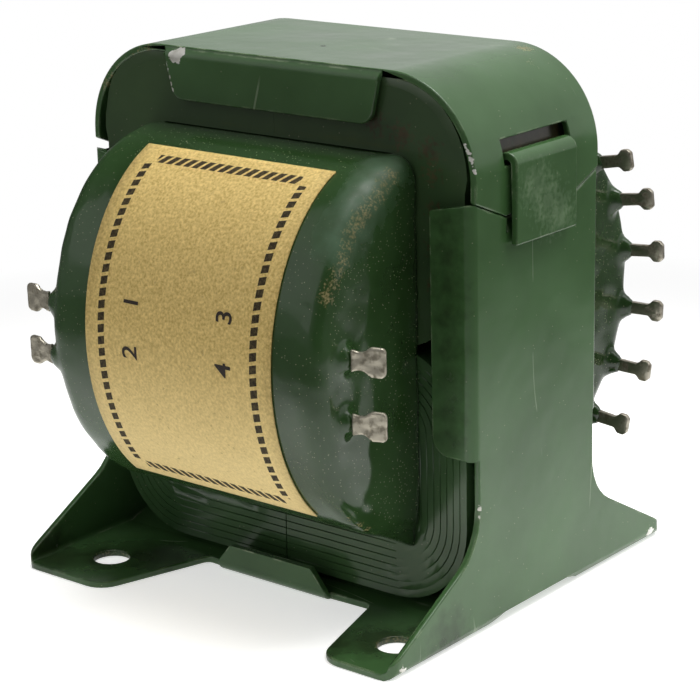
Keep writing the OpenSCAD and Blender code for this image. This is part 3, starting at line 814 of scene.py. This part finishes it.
coil = remeshed(coil, VOXEL, FLOW_PASSES)
for v in coil.verts:
    near_end = ramp(abs(v.co.x), *END_ZONE)
    lumps = lump(v.co, *LUMPS) + near_end * (lump(v.co, *COARSE_LUMPS) + lump(v.co, *FINE_LUMPS))
    v.co += v.normal * (SMOOTHING_LOSS + lumps)
place(coil, "coil_enamelled", coil_enamel, "green_enamel_wrap", "coil")

# %% [markdown]
# ## Solder lugs
# The lugs were stamped from tinned brass strip, and handling and old solder have softened every edge. The
# front ones were left bright: each is a merged copy of the construction mesh that is remeshed finely and
# smoothed. The rear ones are brown with flux and age: each is an outline that is extruded and bevelled.

# %% Tinned finishes
STAIN = 1.0 * MM
STAIN_FROM = 0.5
STAIN_FULL = 0.65
GRAIN = 0.5 * MM
TIN_DEPTH = 0.05 * MM


def tinned(name, bright, stained):
    """Hot-tinned brass: a soft, dull metal coat, stained in patches where flux has burned in. Its grain is
    too fine to show, so it is drawn coarser."""
    finish = bpy.data.materials.new(name)
    finish.use_nodes = True
    tree = finish.node_tree
    spot = add(tree, "ShaderNodeTexCoord").outputs["Object"]
    patch = add(tree, "ShaderNodeTexNoise", {"Vector": spot, "Scale": 1 / STAIN, "Detail": 4.0}).outputs[0]
    limits = {"Value": patch, "From Min": STAIN_FROM, "From Max": STAIN_FULL}
    stain = add(tree, "ShaderNodeMapRange", limits).outputs[0]
    two_tone = {0: stain, 6: tint(bright), 7: tint(stained)}
    colour = add(tree, "ShaderNodeMix", two_tone, data_type="RGBA").outputs[2]
    metal = add(tree, "ShaderNodeMapRange", {"Value": stain, "To Min": 0.9, "To Max": 0.35}).outputs[0]
    rough = add(tree, "ShaderNodeMapRange", {"Value": stain, "To Min": 0.32, "To Max": 0.55}).outputs[0]
    grain = add(tree, "ShaderNodeTexNoise", {"Vector": spot, "Scale": 1 / GRAIN, "Detail": 3.0}).outputs[0]
    skin = add(tree, "ShaderNodeBump", {"Height": grain, "Distance": TIN_DEPTH, "Strength": 0.6}).outputs[0]
    to_shader(tree, {"Base Color": colour, "Metallic": metal, "Roughness": rough, "Normal": skin})
    print(name, len(tree.nodes), "nodes")
    return finish


bright_tin = tinned("bright_tinned_brass", bright="#b3ad9d", stained="#7a7464")
brown_tin = tinned("flux_stained_tinned_brass", bright="#aca698", stained="#726b5b")

# %% Front lugs
LUG_VOXEL = 0.12
LUG_PASSES = 2
LUG_LOSS = 0.03
LUG_LUMPS = (0.07, 0.9)
for node in [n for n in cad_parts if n.startswith("front_") and "_lug_" in n]:
    lug = remeshed(copy_of(node), LUG_VOXEL, LUG_PASSES)
    for v in lug.verts:
        v.co += v.normal * (LUG_LOSS + lump(v.co, *LUG_LUMPS))
    place(lug, node + "_tinned", bright_tin, "tinned_lug", node)

# %% Rear lugs
REAR_LUG_T = 0.85
REAR_LUG_SIDE = ((-0.8, 0.85), (2.3, 0.8), (2.9, 1.45), (3.8, 1.45), (4.3, 0.95))
SOLDER_ROUND = 0.2
SOLDER_STEPS = 2
outline = [(x, z) for x, z in REAR_LUG_SIDE] + [(x, -z) for x, z in reversed(REAR_LUG_SIDE)]
for side, end in ((-1, "left"), (1, "right")):
    for k in range(REAR_COUNT):
        lug = bmesh.new()
        blade = lug.faces.new([lug.verts.new((x, -REAR_LUG_T / 2, z)) for x, z in outline])
        run(lug, [blade], Vector((0, REAR_LUG_T, 0)))
        bmesh.ops.recalc_face_normals(lug, faces=lug.faces)
        bmesh.ops.bevel(lug, geom=lug.edges, offset=SOLDER_ROUND, segments=SOLDER_STEPS, profile=0.5,
                        affect="EDGES", material=-1)
        bmesh.ops.transform(lug, matrix=rear_lug_place(side, k), verts=lug.verts)
        bmesh.ops.recalc_face_normals(lug, faces=lug.faces)
        place(lug, f"rear_{end}_lug_{k + 1}_tinned", brown_tin, "tinned_lug", f"rear_{end}_lug_{k + 1}")

# %% [markdown]
# ## Paper label
# A piece of brown kraft paper is glued round the front of the coil, with a border of slanted dashes and
# four plain terminal numbers that read up the label. A strip of edges spun round the coil gives the bent
# paper, and its own map runs along the paper, so the printed border follows the bend.

# %% Printed border
LABEL_W = 30.4
LABEL_LENGTH = 48.4
BORDER_IN = 2.7
CORNER_GAP = 0.9
DASH_PITCH = 1.43
DASH_INK = 0.68

kraft = bpy.data.materials.new("printed_kraft_paper")
kraft.use_nodes = True
tree = kraft.node_tree
along = add(tree, "ShaderNodeUVMap", uv_map="paper").outputs[0]
paper_uv = add(tree, "ShaderNodeSeparateXYZ", {0: along}).outputs
across = add(tree, "ShaderNodeMath", {0: paper_uv[0], 1: LABEL_W}, operation="MULTIPLY").outputs[0]
upward = add(tree, "ShaderNodeMath", {0: paper_uv[1], 1: LABEL_LENGTH}, operation="MULTIPLY").outputs[0]


def dashes(value, size, other, other_size, half_width, slant, mirrored):
    """Dashes along one pair of sides: on a line near each side, and clear of the other pair at its ends."""
    half = add(tree, "ShaderNodeMath", {0: value, 1: size / 2}, operation="SUBTRACT").outputs[0]
    out = add(tree, "ShaderNodeMath", {0: half}, operation="ABSOLUTE").outputs[0]
    near_side = {0: out, 1: size / 2 - BORDER_IN, 2: half_width}
    line = add(tree, "ShaderNodeMath", near_side, operation="COMPARE").outputs[0]
    leaning = {0: out if mirrored else value, 1: slant, 2: other}
    lean = add(tree, "ShaderNodeMath", leaning, operation="MULTIPLY_ADD").outputs[0]
    turns = add(tree, "ShaderNodeMath", {0: lean, 1: DASH_PITCH}, operation="DIVIDE").outputs[0]
    beat = add(tree, "ShaderNodeMath", {0: turns}, operation="FRACT").outputs[0]
    dash = add(tree, "ShaderNodeMath", {0: beat, 1: DASH_INK}, operation="LESS_THAN").outputs[0]
    mid = add(tree, "ShaderNodeMath", {0: other, 1: other_size / 2}, operation="SUBTRACT").outputs[0]
    span = add(tree, "ShaderNodeMath", {0: mid}, operation="ABSOLUTE").outputs[0]
    ends = other_size / 2 - BORDER_IN - CORNER_GAP
    within = add(tree, "ShaderNodeMath", {0: span, 1: ends}, operation="LESS_THAN").outputs[0]
    inked = add(tree, "ShaderNodeMath", {0: line, 1: dash}, operation="MULTIPLY").outputs[0]
    return add(tree, "ShaderNodeMath", {0: inked, 1: within}, operation="MULTIPLY").outputs[0]


columns = dashes(across, LABEL_W, upward, LABEL_LENGTH, half_width=0.55, slant=-0.25, mirrored=False)
rows = dashes(upward, LABEL_LENGTH, across, LABEL_W, half_width=0.75, slant=-0.6, mirrored=True)
border = add(tree, "ShaderNodeMath", {0: columns, 1: rows}, operation="MAXIMUM").outputs[0]
print("border", LABEL_W - 2 * BORDER_IN, "by", LABEL_LENGTH - 2 * BORDER_IN, "mm")

# %% Kraft paper
FIBRE = 0.35 * MM
FLECK = 0.7 * MM
TOOTH = 0.03 * MM
LOW_LIGHT_FROM = 0.5
LOW_LIGHT_FULL = 0.15
LOW_LIGHT = 0.5

# Matt paper from unbleached pulp, with fibres and darker flecks that are drawn coarser than they are, so that
# they show. Its lower end is lighter: painted light, as from the bright table in front and below. The fibres
# show a little through the ink of the border.
spot = add(tree, "ShaderNodeTexCoord").outputs["Object"]
fibre = add(tree, "ShaderNodeTexNoise", {"Vector": spot, "Scale": 1 / FIBRE, "Detail": 4.0}).outputs[0]
fleck = add(tree, "ShaderNodeTexNoise", {"Vector": spot, "Scale": 1 / FLECK, "Detail": 2.0}).outputs[0]
tone = add(tree, "ShaderNodeMapRange", {"Value": fibre, "From Min": 0.3, "From Max": 0.7}).outputs[0]
pulp = {0: tone, 6: tint("#bb9e59"), 7: tint("#ebcf87")}
colour = add(tree, "ShaderNodeMix", pulp, data_type="RGBA").outputs[2]
# Painted light: the lower end of the label is lightened, as if lit by the table below
light_from_below = {"Value": paper_uv[1], "From Min": LOW_LIGHT_FROM, "From Max": LOW_LIGHT_FULL, "To Max": LOW_LIGHT}
painted_light = add(tree, "ShaderNodeMapRange", light_from_below).outputs[0]
colour = add(tree, "ShaderNodeMix", {0: painted_light, 6: colour, 7: tint("#fae4aa")}, data_type="RGBA").outputs[2]
flecks = {"Value": fleck, "From Min": 0.66, "From Max": 0.74, "To Max": 0.5}
dark = add(tree, "ShaderNodeMapRange", flecks).outputs[0]
colour = add(tree, "ShaderNodeMix", {0: dark, 6: colour, 7: tint("#8d713c")}, data_type="RGBA").outputs[2]
show_through = {"Value": fibre, "From Min": 0.25, "From Max": 0.75, "To Min": 1.0, "To Max": 0.88}
thin_ink = add(tree, "ShaderNodeMapRange", show_through).outputs[0]
ink = add(tree, "ShaderNodeMath", {0: border, 1: thin_ink}, operation="MULTIPLY").outputs[0]
colour = add(tree, "ShaderNodeMix", {0: ink, 6: colour, 7: tint("#140e0b")}, data_type="RGBA").outputs[2]
rough = add(tree, "ShaderNodeMapRange", {"Value": fibre, "To Min": 0.6, "To Max": 0.85}).outputs[0]
tooth = add(tree, "ShaderNodeBump", {"Height": fibre, "Distance": TOOTH, "Strength": 0.5}).outputs[0]
to_shader(tree, {"Base Color": colour, "Roughness": rough, "Normal": tooth})
tree.nodes["Principled BSDF"].inputs["Specular IOR Level"].default_value = 0.25
print(kraft.name, len(tree.nodes), "nodes")

# %% Bent paper
LABEL_LEFT = -14.9
LABEL_LOW = math.radians(-53.0)
LABEL_HIGH = math.radians(70.0)
LABEL_COLUMNS = 12
LABEL_STEPS = 64
LABEL_LIFT = 0.38
LABEL_T = 0.2
label = bmesh.new()
places = [LABEL_LEFT + LABEL_W * i / LABEL_COLUMNS for i in range(LABEL_COLUMNS + 1)]
first = [label.verts.new((x, -1, 0)) for x in places]
edges = [label.edges.new(pair) for pair in zip(first, first[1:])]
bmesh.ops.rotate(label, verts=first, cent=(0, 0, 0), matrix=Matrix.Rotation(-LABEL_LOW, 3, "X"))
bmesh.ops.spin(label, geom=first + edges, cent=(0, 0, 0), axis=(-1, 0, 0), angle=LABEL_HIGH - LABEL_LOW,
               steps=LABEL_STEPS)
paper_map = label.loops.layers.uv.new("paper")
for face in label.faces:
    for loop in face.loops:
        angle = math.atan2(loop.vert.co.z, -loop.vert.co.y)
        loop[paper_map].uv = ((loop.vert.co.x - LABEL_LEFT) / LABEL_W,
                              (angle - LABEL_LOW) / (LABEL_HIGH - LABEL_LOW))
bmesh.ops.scale(label, vec=(1, FRONT_DEPTH + LABEL_LIFT, COIL_HALF_H + LABEL_LIFT), verts=label.verts)
bmesh.ops.translate(label, vec=(0, -COIL_Y, CORE_MID_Z), verts=label.verts)
bmesh.ops.recalc_face_normals(label, faces=label.faces)
paper_label = place(label, "paper_label_printed", kraft, "kraft_paper", "paper_label")
thick = paper_label.modifiers.new("paper_thickness", "SOLIDIFY")
thick.thickness = LABEL_T * MM
thick.offset = -1

# %% Terminal numbers
NUMBER_SIZE = 3.5
INK_SPREAD = 0.035
INK_LIFT = LABEL_LIFT + 0.04
# Each figure with its place across and up the paper
TERMINALS = (("1", 7.8, 26.4), ("2", 7.7, 20.5), ("3", 23.0, 26.9), ("4", 23.1, 20.9))

# Brown printing ink: it was stamped on the paper and has sunk unevenly into the fibres
ink_finish = bpy.data.materials.new("brown_printing_ink")
ink_finish.use_nodes = True
tree = ink_finish.node_tree
spot = add(tree, "ShaderNodeTexCoord").outputs["Object"]
patchy = add(tree, "ShaderNodeTexNoise", {"Vector": spot, "Scale": 1 / FIBRE, "Detail": 3.0}).outputs[0]
two_tone = {0: patchy, 6: tint("#19110d"), 7: tint("#33261b")}
printed = add(tree, "ShaderNodeMix", two_tone, data_type="RGBA").outputs[2]
to_shader(tree, {"Base Color": printed})
tree.nodes["Principled BSDF"].inputs["Roughness"].default_value = 0.7


def terminal_number(figure, across_at, up_at):
    """A plain figure that reads up the label, bent round the coil with the paper."""
    words = bpy.data.curves.new("figure", "FONT")
    words.body = figure
    words.size = NUMBER_SIZE
    words.offset = INK_SPREAD
    words.align_x = words.align_y = "CENTER"
    sign = bpy.data.objects.new("figure", words)
    bpy.context.collection.objects.link(sign)
    bm = bmesh.new()
    bm.from_mesh(sign.evaluated_get(bpy.context.evaluated_depsgraph_get()).to_mesh())
    bpy.data.objects.remove(sign)
    for v in bm.verts:
        bend = LABEL_LOW + (LABEL_HIGH - LABEL_LOW) * (up_at + v.co.x) / LABEL_LENGTH
        v.co = (LABEL_LEFT + across_at - v.co.y,
                -COIL_Y - (FRONT_DEPTH + INK_LIFT) * math.cos(bend),
                CORE_MID_Z + (COIL_HALF_H + INK_LIFT) * math.sin(bend))
    place(bm, f"terminal_number_{figure}", ink_finish, "kraft_paper")


for figure, across_at, up_at in TERMINALS:
    terminal_number(figure, across_at, up_at)
